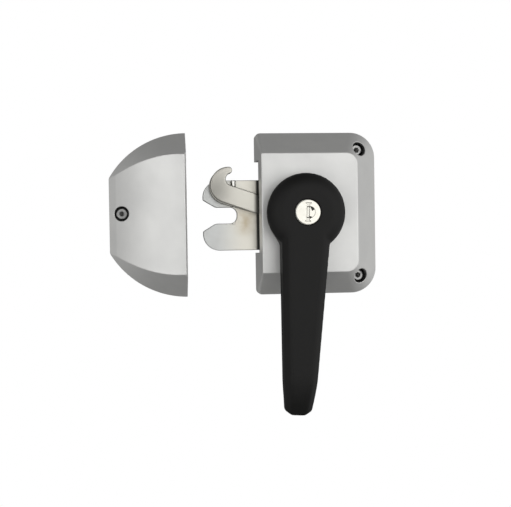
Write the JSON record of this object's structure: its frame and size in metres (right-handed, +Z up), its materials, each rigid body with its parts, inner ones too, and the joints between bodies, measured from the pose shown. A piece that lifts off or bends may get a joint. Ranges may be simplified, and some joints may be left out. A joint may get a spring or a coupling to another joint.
{
  "type": "sliding door hook latch",
  "caption": "Hook latch for a sliding cold room door: satin case with sprung hook, guide fork and keyed black lever, and a half-moon strike with catch pin and roller.",
  "frame": {"origin": "on the spindle's axis at the lock case's mounting face", "axes": "+Y into the door, square to the mounting faces; +Z up; +X away from the strike"},
  "size_m": [0.2114, 0.0608, 0.2193],
  "materials": {
    "satin_cover": "satin plated casting, finely brushed face",
    "stainless": "stainless plate with a warm satin sheen",
    "screw_steel": "dull socket screw steel",
    "zinc_steel": "zinc plated steel",
    "sliding_plastic": "natural sliding plastic",
    "bush_bronze": "sintered bronze",
    "spring_steel": "spring steel wire and strip",
    "bumper_rubber": "black rubber",
    "black_handle": "matte black glass filled nylon",
    "key_nickel": "bright nickel plate",
    "wafer_brass": "stamped brass"
  },
  "bodies": {
    "lock": {"base_plate": "zinc_steel", "buffer_pin": "zinc_steel", "catch_pin": "zinc_steel", "cover_screws": "screw_steel", "fork_plate": "stainless", "fork_screws": "screw_steel", "fork_spacer": "zinc_steel", "guide_pin": "zinc_steel", "hook_stop": "stainless", "housing_cover": "satin_cover", "lock_ring": "zinc_steel", "return_spring": "spring_steel", "spindle_bush_front": "bush_bronze", "spindle_bush_rear": "bush_bronze", "spring_post": "zinc_steel", "stop_buffer": "bumper_rubber", "strike_base": "zinc_steel", "strike_cover": "satin_cover", "strike_cover_screw": "screw_steel"},
    "lever": {"spindle": "zinc_steel", "hook_rear_plate": "stainless", "hook_front_plate": "stainless", "hook_rivets": "stainless", "hook_spacer": "zinc_steel", "glide_washer": "sliding_plastic", "handle_insert": "zinc_steel", "handle_washer": "screw_steel", "handle_screw": "screw_steel", "handle": "black_handle", "cylinder_body": "key_nickel", "cylinder_clip": "spring_steel"},
    "key_plug": {"cylinder_plug": "key_nickel", "wafers": "wafer_brass", "plug_cam": "zinc_steel"},
    "lock_bolt": {"locking_bolt": "zinc_steel"},
    "roller": {"guide_roller": "sliding_plastic"}
  },
  "joints": [
    {"name": "handle_turn", "type": "hinge", "parent": "lock", "child": "lever", "pos_m": [0, 0, 0], "axis": [0, -1, 0], "range_deg": [0, 35], "stiffness_Nm_per_rad": 0.6, "springref_deg": -20.05, "deforming": ["return_spring"]},
    {"name": "key_turn", "type": "hinge", "parent": "lever", "child": "key_plug", "pos_m": [0, 0, 0], "axis": [0, 1, 0], "range_deg": [0, 90]},
    {"name": "bolt_slide", "type": "slide", "parent": "lever", "child": "lock_bolt", "axis": [0.0611, 0, 0.9981], "range_m": [0, 0.0035]},
    {"name": "roller_spin", "type": "hinge", "parent": "lock", "child": "roller", "pos_m": [-0.107, 0, -0.0009], "axis": [0, 1, 0], "continuous": true}
  ],
  "couplings": [
    {"joint": "key_turn", "follows": "bolt_slide", "rad_per_m": 448.79}
  ]
}
